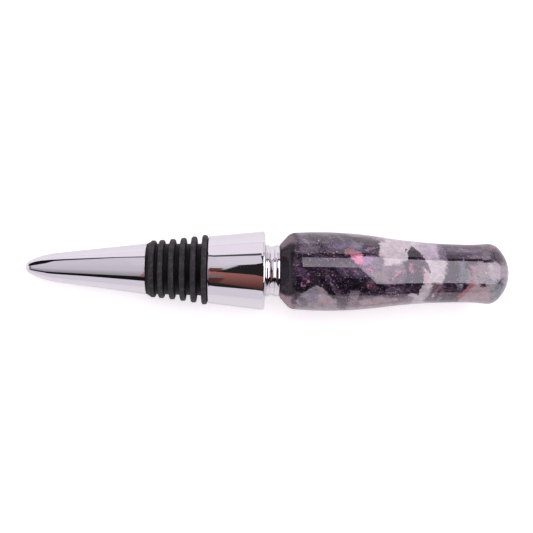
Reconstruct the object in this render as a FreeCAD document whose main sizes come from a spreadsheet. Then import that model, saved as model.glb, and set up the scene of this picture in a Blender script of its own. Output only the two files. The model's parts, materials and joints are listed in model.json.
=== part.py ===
import FreeCAD, Part
import math
import os
import Sketcher
from FreeCAD import Placement, Rotation, Vector

# Bottle stopper: a plated casting with a cone, a collar and a beaded neck, a ribbed rubber sleeve
# stretched over its seat, a turned resin handle, and the stud that joins handle and casting.
# Every piece is drawn along +X, from the cone's tip at X = 0 to the handle's domed end, and all
# are then laid down together, as the stopper lies on a table, on the plane Z = 0.

# Driving sizes: name, value, meaning. Lengths in millimetres, angles in degrees.
sizes = [
    ("tipRadius", 2.1, "round on the very tip of the cone"),
    ("noseLength", 9.0, "from the tip to where the curved nose becomes a straight cone"),
    ("noseRise", 2.15, "how much wider the nose's end is than the tip's round"),
    ("coneLength", 35.0, "from the tip to the shoulder that holds the sleeve"),
    ("coneEndRadius", 7.35, "cone at that shoulder"),
    ("seatRadius", 6.2, "seat under the sleeve"),
    ("collarLength", 16.15, "tapered collar"),
    ("collarFrontRadius", 9.62, "collar beside the sleeve"),
    ("collarRimRadius", 11.38, "collar at its wide end"),
    ("collarFrontRound", 0.35, "rounding of the collar's narrow edge"),
    ("collarRimRound", 0.55, "rounding of the collar's rim"),
    ("lowerBeadWidth", 1.4, "neck bead beside the collar"),
    ("coveWidth", 1.25, "hollow between the two beads"),
    ("upperBeadWidth", 1.85, "neck bead under the handle"),
    ("beadEdgeRadius", 7.1, "neck at the edges of its beads"),
    ("beadSwell", 0.3, "how far a bead's middle stands out"),
    ("coveStep", 0.23, "step down from the lower bead into the cove"),
    ("sleeveLength", 17.6, "rubber sleeve, shoulder to collar"),
    ("sleeveFit", 0.02, "radial room between the seat and the sleeve's bore"),
    ("wallFrontRadius", 7.25, "sleeve between its ribs, at the cone"),
    ("wallRearRadius", 7.5, "sleeve between its ribs, at the collar"),
    ("ribCount", 6, "sealing ribs"),
    ("firstCrestRadius", 8.2, "smallest rib"),
    ("lastCrestRadius", 10.0, "largest rib"),
    ("ribGrowth", 1.4, "power of the crests' growth, 1 for a straight taper"),
    ("ribLand", 1.5, "width of a rib's crest"),
    ("flankLean", 0.25, "how far a rib's side leans out down to its foot"),
    ("leadIn", 1.05, "bevel in front of the first rib"),
    ("firstValley", 1.0, "gap between the first two crests"),
    ("secondRibStation", 4.28, "middle of the second rib, from the shoulder"),
    ("crestBevel", 0.3, "bevel of the ribs' crest edges"),
    ("studDiameter", 9.525, "three-eighths inch stud"),
    ("studInCasting", 12.0, "stud length held by the casting"),
    ("studInHandle", 13.0, "stud length held by the handle"),
    ("studChamfer", 0.8, "chamfer on the stud's ends"),
    ("threadFit", 0.04, "radial room around the stud"),
    ("holeSpare", 1.0, "drilled depth past the stud's end"),
    ("drillAngle", 118.0, "point of the drilled holes"),
    ("mouthWidening", 1.0, "countersink's diameter beyond the drilled holes'"),
    ("mouthAngle", 90.0, "countersink's angle"),
    ("handleLength", 65.4, "turned handle, face to dome"),
    ("faceRadius", 7.7, "handle's flat face on the neck"),
    ("shoulderAngle", 48.0, "slope of the handle's shoulder from its axis"),
    ("shoulderRound", 3.3, "round above the shoulder"),
    ("crownStation", 12.4, "widest place of the handle, from its face"),
    ("crownRadius", 11.32, "handle at its widest"),
    ("crownShare", 0.416, "bulging part of the run from crown to waist"),
    ("waistDepth", 2.98, "how far the waist lies inside the crown"),
    ("waistFromEnd", 11.9, "from the waist to the end of the dome"),
    ("flareRadius", 49.0, "hollow curve from the waist to the end"),
    ("endRound", 3.65, "round between the flare and the dome"),
    ("domeSpread", 1.274, "radius of the domed end as a share of the waist's"),
]


class Size:
    """A value and its expression on the sheet, so that a drawing can start where it will end."""

    def __init__(self, value, text):
        self.value = value
        self.text = text

    def combine(self, other, sign, value):
        text = other.text if isinstance(other, Size) else str(other)
        return Size(value, f"({self.text} {sign} {text})")

    def __add__(self, other):
        return self.combine(other, "+", self.value + number(other))

    def __sub__(self, other):
        return self.combine(other, "-", self.value - number(other))

    def __mul__(self, other):
        return self.combine(other, "*", self.value * number(other))

    def __truediv__(self, other):
        return self.combine(other, "/", self.value / number(other))


def number(value):
    return value.value if isinstance(value, Size) else value


def makeSheet(doc):
    """Writes the driving sizes to a sheet, one aliased cell each."""
    sheet = doc.addObject("Spreadsheet::Sheet", "Sizes")
    for row, (alias, value, meaning) in enumerate(sizes, 1):
        sheet.set(f"A{row}", alias)
        sheet.set(f"B{row}", str(value))
        sheet.set(f"C{row}", meaning)
        sheet.setAlias(f"B{row}", alias)
    doc.recompute()
    return sheet


doc = FreeCAD.newDocument("BottleStopper")
sheet = makeSheet(doc)


def cell(alias):
    return Size(float(getattr(sheet, alias)), f"Sizes.{alias}")


# Stations along the axis, and the radii that more than one piece needs.
shoulder = cell("coneLength")
sleeveEnd = shoulder + cell("sleeveLength")
collarEnd = sleeveEnd + cell("collarLength")
lowerBeadEnd = collarEnd + cell("lowerBeadWidth")
coveEnd = lowerBeadEnd + cell("coveWidth")
neckEnd = coveEnd + cell("upperBeadWidth")
handleEnd = neckEnd + cell("handleLength")
beadEdge = cell("beadEdgeRadius")
boreDiameter = cell("studDiameter") + cell("threadFit") * 2
waistRadius = cell("crownRadius") - cell("waistDepth")
domeRadius = waistRadius * cell("domeSpread")


def newBody(label):
    body = doc.addObject("PartDesign::Body", label)
    body.Label = label
    return body


def newSketch(body, name, role="XY_Plane"):
    """A sketch on one of the body's own origin planes. On XY_Plane its axes are X and the radius."""
    sketch = body.newObject("Sketcher::SketchObject", name)
    plane = [item for item in body.Origin.OriginFeatures if item.Role == role][0]
    sketch.AttachmentSupport = [(plane, "")]
    sketch.MapMode = "FlatFace"
    return sketch


class Drawing:
    """A sketch whose constraints are set all together, so the solver meets a finished drawing."""

    def __init__(self, sketch):
        self.sketch = sketch
        self.constraints = []
        self.sizes = []

    def relate(self, kind, *where):
        self.constraints.append(Sketcher.Constraint(kind, *where))

    def dimension(self, kind, size, *where):
        """A dimension at its present value, tied to the sheet."""
        self.sizes.append((len(self.constraints), size.text))
        self.relate(kind, *where, size.value)

    def pin(self, element, end, place):
        """Holds a point: a Size by its dimension, a zero on that axis. Plain numbers stay free."""
        x, radius = place
        if x == 0 and radius == 0:
            self.relate("Coincident", element, end, -1, 1)
            return
        for value, kind, axis in ((x, "DistanceX", -2), (radius, "DistanceY", -1)):
            if isinstance(value, Size):
                self.dimension(kind, value, -1, 1, element, end)
            elif value == 0:
                self.relate("PointOnObject", element, end, axis)

    def join(self, kind, first, second, place):
        """Joins the ends of two elements that lie at the place."""
        ends = [endNear(self.sketch, element, place) for element in (first, second)]
        self.relate(kind, first, ends[0], second, ends[1])

    def settle(self):
        self.sketch.addConstraint(self.constraints)
        for index, text in self.sizes:
            self.sketch.setExpression(f"Constraints[{index}]", text)


def point(place):
    return Vector(number(place[0]), number(place[1]), 0)


def arcBetween(centre, start, end):
    """The shorter arc about centre between two points, turned the way sketches keep arcs."""
    first = math.atan2(start.y - centre.y, start.x - centre.x)
    last = math.atan2(end.y - centre.y, end.x - centre.x)
    if (last - first) % (2 * math.pi) > math.pi:
        first, last = last, first
    if last < first:
        last += 2 * math.pi
    circle = Part.Circle(centre, Vector(0, 0, 1), start.distanceToPoint(centre))
    return Part.ArcOfCircle(circle, first, last)


def endNear(sketch, element, place):
    """Which end of an element, 1 or 2, lies at the place."""
    gaps = [sketch.getPoint(element, end).distanceToPoint(place) for end in (1, 2)]
    return 1 + gaps.index(min(gaps))


def cornerRound(place, before, after, radius):
    """Where a round starts and ends at a corner between two straight edges, and its centre."""
    back = (before - place).normalize()
    ahead = (after - place).normalize()
    half = back.getAngle(ahead) / 2
    setback = radius / math.tan(half)
    centre = place + (back + ahead).normalize() * (radius / math.sin(half))
    return place + back * setback, place + ahead * setback, centre


def addRound(drawing, corner, radius, edges, starts, centre):
    """Rounds a corner between two edges. A construction point keeps the sharp corner's place."""
    drawing.sketch.addGeometry(arcBetween(centre, *starts))
    arc = drawing.sketch.GeometryCount - 1
    for edge, place in zip(edges, starts):
        drawing.join("Tangent", edge, arc, place)
    drawing.dimension("Radius", radius, arc)
    drawing.sketch.addGeometry(Part.Point(point(corner)), True)
    for edge in edges:
        drawing.relate("PointOnObject", arc + 1, 1, edge)
    drawing.pin(arc + 1, 1, corner)


def drawOutline(sketch, corners, centres=None, radii=None, smooth=(), rounds=None, slopes=None):
    """Draws a closed outline. Edge k runs from corner k to the next one: an arc where centres has
    its centre, straight otherwise, at the angle in slopes. Corners in smooth are tangent joints,
    and those in rounds are rounded to the radius given there."""
    centres = centres or {}
    rounds = rounds or {}
    places = [point(corner) for corner in corners]
    count = len(places)
    trims = {}
    for k, radius in rounds.items():
        trims[k] = cornerRound(places[k], places[k - 1], places[(k + 1) % count], radius.value)
    for k in range(count):
        after = (k + 1) % count
        start = trims[k][1] if k in trims else places[k]
        end = trims[after][0] if after in trims else places[after]
        if k in centres:
            sketch.addGeometry(arcBetween(point(centres[k]), start, end))
        else:
            sketch.addGeometry(Part.LineSegment(start, end))
    drawing = Drawing(sketch)
    for k in range(count):
        before = (k - 1) % count
        if k in rounds:
            start, end, centre = trims[k]
            addRound(drawing, corners[k], rounds[k], (before, k), (start, end), centre)
            continue
        drawing.join("Tangent" if k in smooth else "Coincident", before, k, places[k])
        drawing.pin(k, endNear(sketch, k, places[k]), corners[k])
    for k, centre in centres.items():
        drawing.pin(k, 3, centre)
    for k, radius in (radii or {}).items():
        drawing.dimension("Radius", radius, k)
    for k, slope in (slopes or {}).items():
        drawing.dimension("Angle", slope, k)
    drawing.settle()


def turn(body, sketch, name):
    """Turns a half section about the X axis."""
    feature = body.newObject("PartDesign::Revolution", name)
    feature.Profile = sketch
    feature.ReferenceAxis = (sketch, ["H_Axis"])
    feature.Angle = 360
    doc.recompute()
    return feature


def drawCircle(body, name, station, diameter):
    """A circle about the axis, on a plane across it at the station."""
    sketch = newSketch(body, name, "YZ_Plane")
    sketch.setExpression("AttachmentOffset.Base.z", station.text)
    sketch.addGeometry(Part.Circle(Vector(0, 0, 0), Vector(0, 0, 1), diameter.value / 2))
    drawing = Drawing(sketch)
    drawing.relate("Coincident", 0, 3, -1, 1)
    drawing.dimension("Diameter", diameter, 0)
    drawing.settle()
    return sketch


def circularEdges(feature):
    names = []
    for index, edge in enumerate(feature.Shape.Edges, 1):
        if not edge.Degenerated and edge.Curve.TypeId == "Part::GeomCircle":
            names.append(f"Edge{index}")
    return names


def drillForStud(body, depth, intoPlusX):
    """Drills the blind hole for the stud from the joint between neck and handle."""
    sketch = drawCircle(body, body.Label + "_HoleCentre", neckEnd, boreDiameter)
    doc.recompute()
    before = body.Shape.Volume
    hole = body.newObject("PartDesign::Hole", body.Label + "_StudHole")
    hole.Profile = sketch
    doc.recompute()
    hole.Reversed = intoPlusX
    hole.DepthType = "Dimension"
    hole.DrillPoint = "Angled"
    hole.HoleCutType = "Countersink"
    hole.setExpression("Diameter", boreDiameter.text)
    hole.setExpression("Depth", (depth + cell("holeSpare")).text)
    hole.setExpression("DrillPointAngle", cell("drillAngle").text)
    hole.setExpression("HoleCutDiameter", (boreDiameter + cell("mouthWidening")).text)
    hole.setExpression("HoleCutCountersinkAngle", cell("mouthAngle").text)
    doc.recompute()
    bored = math.pi / 4 * boreDiameter.value ** 2 * depth.value
    if before - body.Shape.Volume < bored:
        raise RuntimeError(body.Label + ": the stud's hole points away from the piece")


def noseArc(tip, noseEnd, coneEnd):
    """Centre of the nose's arc and its joint with the tip's round: tangent to both neighbours."""
    tipCentre = Vector(tip, 0, 0)
    along = (coneEnd - noseEnd).normalize()
    inward = Vector(along.y, -along.x, 0)
    reach = noseEnd - tipCentre
    radius = (tip ** 2 - reach.dot(reach)) / (2 * (reach.dot(inward) + tip))
    centre = noseEnd + inward * radius
    joint = tipCentre + (tipCentre - centre).normalize() * tip
    return centre, joint


def drawCone(body):
    """Rounded tip, curved nose and straight cone."""
    tip = cell("tipRadius")
    noseEnd = (cell("noseLength"), tip + cell("noseRise"))
    coneEnd = (shoulder, cell("coneEndRadius"))
    centre, joint = noseArc(tip.value, point(noseEnd), point(coneEnd))
    sketch = newSketch(body, "ConeProfile")
    corners = [(0, 0), (joint.x, joint.y), noseEnd, coneEnd, (shoulder, 0)]
    centres = {0: (tip, 0), 1: (centre.x, centre.y)}
    drawOutline(sketch, corners, centres, smooth=(1, 2))
    turn(body, sketch, "Cone")


def drawSeatAndCollar(body):
    """Plain seat under the sleeve and the tapered collar behind it."""
    sketch = newSketch(body, "SeatProfile")
    seat = cell("seatRadius")
    drawOutline(sketch, [(shoulder, 0), (shoulder, seat), (sleeveEnd, seat), (sleeveEnd, 0)])
    turn(body, sketch, "SleeveSeat")
    sketch = newSketch(body, "CollarProfile")
    front = (sleeveEnd, cell("collarFrontRadius"))
    rim = (collarEnd, cell("collarRimRadius"))
    rounds = {1: cell("collarFrontRound"), 2: cell("collarRimRound")}
    drawOutline(sketch, [(sleeveEnd, 0), front, rim, (collarEnd, 0)], rounds=rounds)
    turn(body, sketch, "Collar")


def beadRadius(width):
    """Radius of the arc that swells by beadSwell over a bead's width."""
    swell = cell("beadSwell")
    return (width * width / 4 + swell * swell) / (swell * 2)


def beadCentre(start, width):
    radius = beadRadius(width).value
    return (start.value + width.value / 2, beadEdge.value + number(cell("beadSwell")) - radius)


def drawNeck(body):
    """Two beads with a cove between them."""
    step = cell("coveStep")
    cove = cell("coveWidth").value
    coveFloor = beadEdge - step
    coveRadius = (cove ** 2 + step.value ** 2) / (2 * step.value)
    corners = [
        (collarEnd, 0),
        (collarEnd, beadEdge),
        (lowerBeadEnd, beadEdge),
        (lowerBeadEnd, coveFloor),
        (coveEnd, beadEdge),
        (neckEnd, beadEdge),
        (neckEnd, 0),
    ]
    lower = cell("lowerBeadWidth")
    upper = cell("upperBeadWidth")
    centres = {
        1: beadCentre(collarEnd, lower),
        3: (lowerBeadEnd, coveFloor.value + coveRadius),
        4: beadCentre(coveEnd, upper),
    }
    sketch = newSketch(body, "NeckProfile")
    drawOutline(sketch, corners, centres, {1: beadRadius(lower), 4: beadRadius(upper)})
    turn(body, sketch, "Neck")


def makeCore():
    """The plated casting: cone, sleeve seat, collar and neck in one piece."""
    body = newBody("stopper_core")
    drawCone(body)
    drawSeatAndCollar(body)
    drawNeck(body)
    drillForStud(body, cell("studInCasting"), False)
    return body


ribCount = int(cell("ribCount").value)
lastRibStation = sleeveEnd - cell("ribLand") / 2 - cell("flankLean")
secondRib = shoulder + cell("secondRibStation")
ribPitch = (lastRibStation - secondRib) / (ribCount - 2)


def crestRadius(index):
    """Crests grow from the first rib to the last by a power law."""
    place = index / (ribCount - 1)
    growth = cell("ribGrowth")
    share = Size(place ** growth.value, f"{place} ^ {growth.text}")
    first = cell("firstCrestRadius")
    return first + (cell("lastCrestRadius") - first) * share


def crestSpan(index):
    """Stations where a rib's crest starts and ends."""
    half = cell("ribLand") / 2
    if index == 0:
        return shoulder + cell("leadIn"), secondRib - half - cell("firstValley")
    middle = secondRib + ribPitch * (index - 1)
    return middle - half, middle + half


def footRadius():
    """The ribs are drawn down to the middle of the sleeve's wall."""
    return (cell("seatRadius") + cell("wallFrontRadius")) / 2


def drawRib(body, index):
    """One rib. The first has a bevel from the sleeve's end instead of a steep front."""
    start, end = crestSpan(index)
    crest = crestRadius(index)
    foot = footRadius()
    lean = cell("flankLean")
    bevel = cell("crestBevel")
    corners = [
        (start, crest - bevel),
        (start + bevel, crest),
        (end - bevel, crest),
        (end, crest - bevel),
        (end + lean, foot),
    ]
    if index == 0:
        corners += [(shoulder, foot), (shoulder, cell("wallFrontRadius"))]
    else:
        corners += [(start - lean, foot)]
    sketch = newSketch(body, f"Rib{index + 1}Profile")
    drawOutline(sketch, corners)
    turn(body, sketch, f"Rib{index + 1}")


def makeSleeve():
    """The rubber sleeve: a thin wall with sealing ribs that grow towards the collar."""
    body = newBody("ribbed_sleeve")
    bore = cell("seatRadius") + cell("sleeveFit")
    front = (shoulder, cell("wallFrontRadius"))
    rear = (sleeveEnd, cell("wallRearRadius"))
    sketch = newSketch(body, "WallProfile")
    drawOutline(sketch, [(shoulder, bore), front, rear, (sleeveEnd, bore)])
    turn(body, sketch, "Wall")
    for index in range(ribCount):
        drawRib(body, index)
    return body


def makeStud():
    """The stud between casting and handle, drawn at its thread's outer diameter."""
    body = newBody("threaded_stud")
    start = neckEnd - cell("studInCasting")
    length = cell("studInCasting") + cell("studInHandle")
    sketch = drawCircle(body, "StudProfile", start, cell("studDiameter"))
    pad = body.newObject("PartDesign::Pad", "Shank")
    pad.Profile = sketch
    pad.setExpression("Length", length.text)
    doc.recompute()
    chamfer = body.newObject("PartDesign::Chamfer", "EndChamfers")
    chamfer.Base = (pad, circularEdges(pad))
    chamfer.setExpression("Size", cell("studChamfer").text)
    doc.recompute()
    return body


def circlesMeet(centreA, radiusA, centreB, radiusB):
    """The two points where two circles cross."""
    across = centreB - centreA
    gap = across.Length
    along = (gap ** 2 + radiusA ** 2 - radiusB ** 2) / (2 * gap)
    rise = math.sqrt(max(radiusA ** 2 - along ** 2, 0))
    unit = across.normalize()
    aside = Vector(-unit.y, unit.x, 0) * rise
    middle = centreA + unit * along
    return middle + aside, middle - aside


def towards(centre, other, radius):
    """The point of a circle that faces another place."""
    return centre + (other - centre).normalize() * radius


def drawHandle(body):
    """Flat face, sloped shoulder, bulging crown, long hollow waist, flared end and dome."""
    crown = cell("crownRadius")
    face = cell("faceRadius")
    crownX = neckEnd + cell("crownStation")
    waistX = handleEnd - cell("waistFromEnd")
    run = waistX - crownX
    drop = cell("waistDepth")
    # Two arcs, level at the crown and at the waist, share the run: R1 + R2 = (run^2 + drop^2) / (2 drop).
    bothArcs = (run * run + drop * drop) / (drop * 2)
    crownArc = bothArcs * cell("crownShare")
    waistArc = (bothArcs - crownArc).value
    crownCentre = point((crownX, crown - crownArc))
    waist = point((waistX, waistRadius))
    waistCentre = waist + Vector(0, waistArc, 0)
    swing = towards(crownCentre, waistCentre, crownArc.value)

    slope = math.radians(cell("shoulderAngle").value)
    rounding = cell("shoulderRound").value
    faceEdge = point((neckEnd, face))
    uphill = Vector(math.cos(slope), math.sin(slope), 0)
    inward = Vector(uphill.y, -uphill.x, 0)
    offset = faceEdge + inward * rounding - crownCentre
    lead = offset.dot(uphill)
    spread = math.sqrt(lead ** 2 - offset.dot(offset) + (crownArc.value - rounding) ** 2)
    reach = -lead - spread if lead + spread < 0 else -lead + spread
    roundStart = faceEdge + uphill * reach
    roundCentre = roundStart + inward * rounding
    roundEnd = towards(crownCentre, roundCentre, crownArc.value)

    flare = cell("flareRadius")
    corner = cell("endRound")
    flareCentre = waist + Vector(0, flare.value, 0)
    domeCentre = point((handleEnd - domeRadius, 0))
    meets = circlesMeet(flareCentre, flare.value + corner.value, domeCentre, domeRadius.value - corner.value)
    cornerCentre = max(meets, key=lambda place: place.x)
    flareEnd = towards(flareCentre, cornerCentre, flare.value)
    domeStart = towards(domeCentre, cornerCentre, domeRadius.value)

    corners = [
        (neckEnd, 0),
        (neckEnd, face),
        (roundStart.x, roundStart.y),
        (roundEnd.x, roundEnd.y),
        (swing.x, swing.y),
        (waistX, waistRadius),
        (flareEnd.x, flareEnd.y),
        (domeStart.x, domeStart.y),
        (handleEnd, 0),
    ]
    centres = {
        2: (roundCentre.x, roundCentre.y),
        3: (crownX, crown - crownArc),
        4: (waistX, waistCentre.y),
        5: (flareCentre.x, flareCentre.y),
        6: (cornerCentre.x, cornerCentre.y),
        7: (domeCentre.x, 0),
    }
    radii = {2: cell("shoulderRound"), 3: crownArc, 5: flare, 6: corner, 7: domeRadius}
    sketch = newSketch(body, "HandleProfile")
    slopes = {1: cell("shoulderAngle")}
    drawOutline(sketch, corners, centres, radii, smooth=(2, 3, 4, 5, 6, 7), slopes=slopes)
    turn(body, sketch, "TurnedHandle")


def makeHandle():
    """The turned handle, drilled for the stud."""
    body = newBody("turned_handle")
    drawHandle(body)
    drillForStud(body, cell("studInHandle"), True)
    return body


def restPlacement():
    """How the stopper lies: on the last rib's crest and on the collar's rim, with the handle's end
    raised. The floor is the tangent from the crest's front corner to the rim's rounding."""
    ribX = (crestSpan(ribCount - 1)[0] + cell("crestBevel")).value
    ribR = crestRadius(ribCount - 1).value
    rounding = cell("collarRimRound").value
    rim = cell("collarRimRadius").value
    taper = math.atan2(rim - cell("collarFrontRadius").value, cell("collarLength").value)
    rimX = collarEnd.value - rounding
    rimR = rim - rounding * (math.tan(taper) + 1 / math.cos(taper))
    span = math.hypot(rimX - ribX, rimR - ribR)
    tilt = math.atan2(rimR - ribR, rimX - ribX) + math.asin(rounding / span)
    height = ribR * math.cos(tilt) - ribX * math.sin(tilt)
    tip = cell("tipRadius").value
    low = tip * math.cos(tilt) - tip
    high = (handleEnd - domeRadius).value * math.cos(tilt) + domeRadius.value
    rotation = Rotation(Vector(0, 1, 0), -math.degrees(tilt))
    return Placement(Vector(-(low + high) / 2, 0, height), rotation)


def checkDocument(bodies):
    """Stops if anything failed to build, before a file is written."""
    doc.recompute()
    for item in doc.Objects:
        if "Invalid" in item.State or "Error" in item.State:
            raise RuntimeError(item.Label + " did not recompute")
    for body in bodies:
        if body.Shape.isNull() or not body.Shape.isValid():
            raise RuntimeError(body.Label + " has no valid shape")
        if len(body.Shape.Solids) != 1:
            raise RuntimeError(body.Label + " is not one solid")


bodies = [makeCore(), makeSleeve(), makeStud(), makeHandle()]
rest = restPlacement()
for body in bodies:
    body.Placement = rest
checkDocument(bodies)
os.makedirs("parts", exist_ok=True)
for body in bodies:
    body.Shape.exportStep(f"parts/{body.Label}.step")
    box = body.Shape.optimalBoundingBox(False)
    print(body.Label, "volume %.1f" % body.Shape.Volume, "box", box)
print("tilt %.2f degrees" % math.degrees(rest.Rotation.Angle))
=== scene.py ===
import json
import math
import bmesh
import bpy
from mathutils import Matrix, Vector


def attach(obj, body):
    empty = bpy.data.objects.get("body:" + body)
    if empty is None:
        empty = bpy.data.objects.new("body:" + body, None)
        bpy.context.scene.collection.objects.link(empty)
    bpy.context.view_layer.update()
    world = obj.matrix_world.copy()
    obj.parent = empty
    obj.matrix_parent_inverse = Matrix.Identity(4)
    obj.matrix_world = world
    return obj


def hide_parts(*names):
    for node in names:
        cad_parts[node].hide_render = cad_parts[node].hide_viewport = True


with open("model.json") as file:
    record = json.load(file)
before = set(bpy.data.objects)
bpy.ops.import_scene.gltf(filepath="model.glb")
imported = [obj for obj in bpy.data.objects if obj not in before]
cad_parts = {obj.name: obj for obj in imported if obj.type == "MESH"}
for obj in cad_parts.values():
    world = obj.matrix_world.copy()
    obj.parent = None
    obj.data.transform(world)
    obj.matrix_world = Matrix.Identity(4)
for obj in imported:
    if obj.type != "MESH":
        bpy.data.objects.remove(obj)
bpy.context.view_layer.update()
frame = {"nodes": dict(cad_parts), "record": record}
mm = 0.001
record = frame["record"]

# Stations from the cone's tip and radii, in mm, that more than one piece uses.
shoulder = 35.0  # the cone ends and the sleeve starts
collarFace = 52.6  # the sleeve ends
neckEnd = 73.25  # the handle starts
seatRadius = 6.2
holeRadius = 4.8
holeMouth = 5.3
sealStation = 48.52  # the middle of the fifth rib

# The stopper lies tilted. The record's neck seal gives its axis, so the pieces are turned along X
# from the cone's tip and laid down by this matrix. X runs to the handle's end, Z is up.
seal = record["mounts"][0]
alongAxis = -Vector(seal["axis"])
across = Vector((0, 1, 0))
upward = alongAxis.cross(across)
tipPlace = Vector(seal["pos_m"]) - alongAxis * sealStation * mm
lay = Matrix((
    (alongAxis.x, across.x, upward.x, tipPlace.x),
    (alongAxis.y, across.y, upward.y, tipPlace.y),
    (alongAxis.z, across.z, upward.z, tipPlace.z),
    (0, 0, 0, 1),
))


def showObject(name, data):
    thing = bpy.data.objects.new(name, data)
    bpy.context.scene.collection.objects.link(thing)
    return thing


# Camera: above the stopper, square to its axis.

view = {
    "focalPixels": 855.5,
    "imagePixels": 533.0,
    "station": 61.8,  # where the camera stands along the axis
    "sideways": 1.06,
    "distance": 246.5,  # from the axis
    "roll": 0.86,
    "footPixel": 240.3,  # the photograph is framed further right than the camera stands
    "sensor": 36.0,
    "clip": (0.005, 20.0),  # in metres
}


def makeCamera():
    lens = bpy.data.cameras.new("camera")
    lens.sensor_width = view["sensor"]
    lens.lens = view["focalPixels"] * view["sensor"] / view["imagePixels"]
    lens.shift_x = 0.5 - view["footPixel"] / view["imagePixels"]
    lens.clip_start, lens.clip_end = view["clip"]
    camera = showObject("camera", lens)
    place = Vector((view["station"], view["sideways"], view["distance"])) * mm
    roll = Matrix.Rotation(math.radians(view["roll"]), 4, "Z")
    camera.matrix_world = lay @ Matrix.Translation(place) @ roll
    bpy.context.scene.camera = camera


makeCamera()
bpy.context.scene.view_settings.view_transform = "Standard"
print("camera done")


# Meshes.

facets = {
    "around": 224,  # sides of a turned piece
    "arcTurn": 4,  # degrees from one point of an arc to the next, at most
    "straights": 3,  # a straight stretch may take this many arc steps at once
    "crease": 24,  # degrees; a sharper edge stays sharp and gets the bevel
    "bevelRows": 3,
    "onAxis": 1e-4,  # a smaller radius, in mm, is on the axis
}


def arcPoints(start, end, bend, step):
    # an arc from start to end; a positive bend bulges away from the axis, a negative one is hollow
    chord = end - start
    outward = Vector((-chord.y, chord.x)).normalized()
    rise = math.sqrt(max(bend * bend - chord.length_squared / 4, 0))
    centre = (start + end) / 2 - outward * math.copysign(rise, bend)
    first = math.atan2(start.y - centre.y, start.x - centre.x)
    turn = math.atan2(end.y - centre.y, end.x - centre.x) - first
    turn = (turn + math.pi) % (2 * math.pi) - math.pi
    byTurn = math.ceil(abs(turn) / math.radians(facets["arcTurn"]))
    count = max(2, byTurn, math.ceil(abs(turn * bend) / step))
    radius = abs(bend)
    places = []
    for k in range(1, count + 1):
        angle = first + turn * k / count
        places.append(centre + Vector((math.cos(angle), math.sin(angle))) * radius)
    return places


def outline(corners, step=0.8):
    # the half section that a piece is turned from, in mm: (station, radius[, bend of an arc])
    start, *moves = corners
    places = [Vector(start)]
    for move in moves:
        end = Vector(move[:2])
        if len(move) == 3:
            places += arcPoints(places[-1], end, move[2], step)
            continue
        begin = places[-1]
        count = max(1, math.ceil((end - begin).length / (step * facets["straights"])))
        places += [begin.lerp(end, k / count) for k in range(1, count + 1)]
    return places


def makeRing(work, place):
    # one point of the half section, carried round; on the axis it stays one vertex
    if abs(place.y) < facets["onAxis"]:
        return [work.verts.new((place.x * mm, 0, 0))]
    ring = []
    for k in range(facets["around"]):
        angle = 2 * math.pi * k / facets["around"]
        ring.append(work.verts.new((
            place.x * mm, place.y * mm * math.sin(angle), place.y * mm * math.cos(angle))))
    return ring


def joinRings(work, before, after):
    for k in range(facets["around"]):
        n = (k + 1) % facets["around"]
        if len(before) == 1:
            work.faces.new((before[0], after[n], after[k]))
        elif len(after) == 1:
            work.faces.new((before[k], before[n], after[0]))
        else:
            work.faces.new((before[k], before[n], after[n], after[k]))


def softenEdges(piece, width):
    bevel = piece.modifiers.new("softEdges", "BEVEL")
    bevel.width = width * mm
    bevel.segments = facets["bevelRows"]
    bevel.limit_method = "ANGLE"
    bevel.angle_limit = math.radians(facets["crease"])
    bevel.harden_normals = True


def turned(name, places, material, node, softness, closed=False):
    # turns the half section about X; a closed one is joined end to end
    mesh = bpy.data.meshes.new(name)
    work = bmesh.new()
    rings = [makeRing(work, place) for place in places]
    pairs = list(zip(rings, rings[1:]))
    if closed:
        pairs.append((rings[-1], rings[0]))
    for before, after in pairs:
        joinRings(work, before, after)
    bmesh.ops.recalc_face_normals(work, faces=work.faces)
    bmesh.ops.transform(work, matrix=lay, verts=work.verts)
    work.to_mesh(mesh)
    work.free()
    mesh.shade_smooth()
    mesh.set_sharp_from_angle(angle=math.radians(facets["crease"]))
    mesh.materials.append(material)
    piece = showObject(name, mesh)
    softenEdges(piece, softness)
    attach(piece, "root")
    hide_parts(node)


# Shader helpers.

def feed(tree, socket, value):
    # an input gets a value or another node's output
    if isinstance(value, bpy.types.NodeSocket):
        tree.links.new(value, socket)
    else:
        socket.default_value = value


def put(tree, kind, inputs=None, **settings):
    node = tree.nodes.new("ShaderNode" + kind)
    for name, value in settings.items():
        setattr(node, name, value)
    for name, value in (inputs or {}).items():
        feed(tree, node.inputs[name], value)
    return node


def use(tree, group, inputs):
    return put(tree, "Group", inputs, node_tree=group).outputs


def maths(tree, operation, *values, clamp=False):
    return put(tree, "Math", dict(enumerate(values)), operation=operation, use_clamp=clamp).outputs[0]


def times(tree, first, *others):
    for other in others:
        first = maths(tree, "MULTIPLY", first, other)
    return first


def ramp(tree, value, start, end, low=0.0, high=1.0, **settings):
    # low up to start and high from end on, with a slope between
    slope = put(tree, "MapRange", {
        "Value": value, "From Min": start, "From Max": end, "To Min": low, "To Max": high}, **settings)
    return slope.outputs[0]


def vectorMaths(tree, operation, first, second):
    name = "Scale" if operation == "SCALE" else 1
    return put(tree, "VectorMath", {0: first, name: second}, operation=operation).outputs


def axisParts(tree, vector):
    return put(tree, "SeparateXYZ", {"Vector": vector}).outputs


def mixColour(tree, share, below, above, blend="MIX"):
    node = put(tree, "Mix", data_type="RGBA", blend_type=blend, clamp_factor=True)
    for index, value in ((0, share), (6, below), (7, above)):
        feed(tree, node.inputs[index], value)
    return node.outputs[2]


def noise(tree, coords, scale, detail, roughness=0.5, distortion=0.0):
    return put(tree, "TexNoise", {
        "Vector": coords, "Scale": scale, "Detail": detail,
        "Roughness": roughness, "Distortion": distortion}).outputs


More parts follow.
